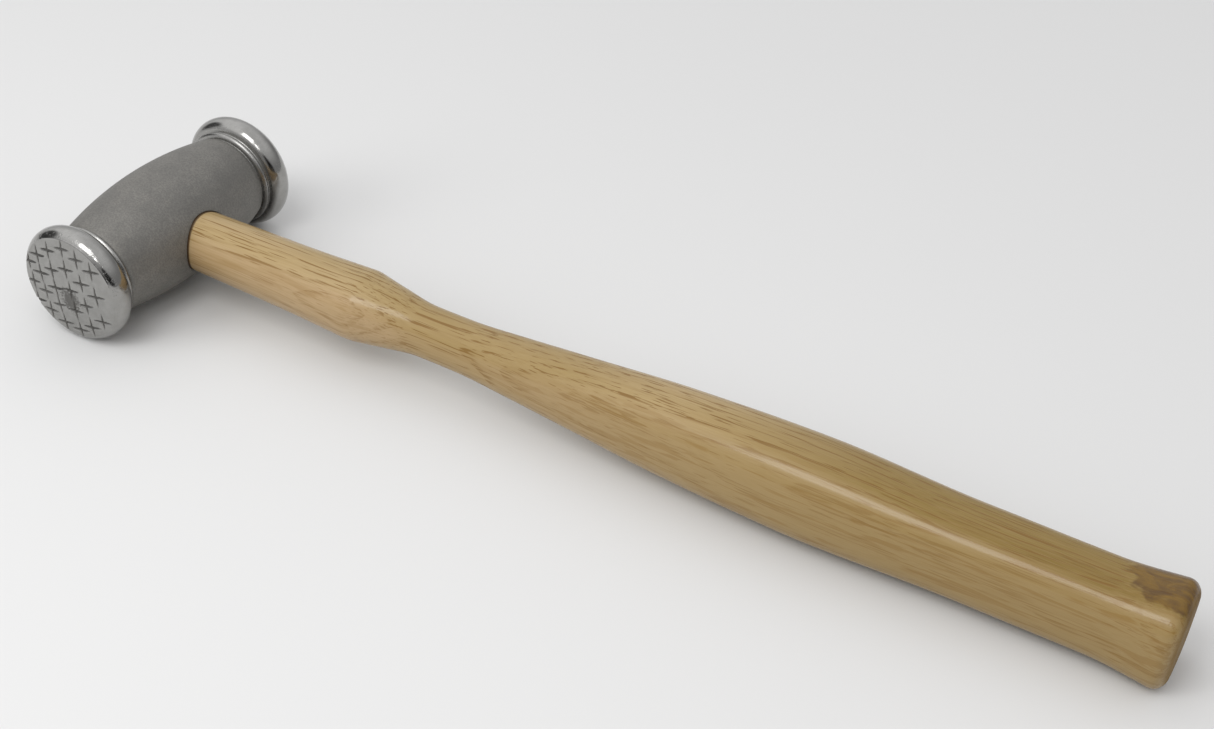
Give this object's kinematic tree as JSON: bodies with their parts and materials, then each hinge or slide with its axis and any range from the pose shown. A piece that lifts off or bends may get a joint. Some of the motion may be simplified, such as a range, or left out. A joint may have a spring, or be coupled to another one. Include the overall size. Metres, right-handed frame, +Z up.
{
  "type": "texturing hammer",
  "caption": "Small double-faced hammer with a bulging matte steel barrel, polished round flanges, cross-cut faces and a shaped oak handle, lying on its side.",
  "frame": {"origin": "under the middle of the hammer's box, on the bench that it lies on", "axes": "+Z up from the bench, +X along the handle from the head to the butt (the handle's axis dips 0.9 degrees towards the butt), Y along the head from the near face at -Y to the far face at +Y"},
  "size_m": [0.244, 0.06, 0.0264],
  "materials": {
    "head_steel": "matte blasted barrel, mirror-polished flanges and faces",
    "handle_oak": "pale oak under clear satin lacquer",
    "wedge_wood": "hardwood end grain, sanded and lacquered with the handle",
    "wedge_steel": "dull mild steel, ground at its top"
  },
  "bodies": {
    "root": {"head": "head_steel", "handle": "handle_oak", "wood_wedge": "wedge_wood", "steel_wedge": "wedge_steel"}
  },
  "joints": []
}
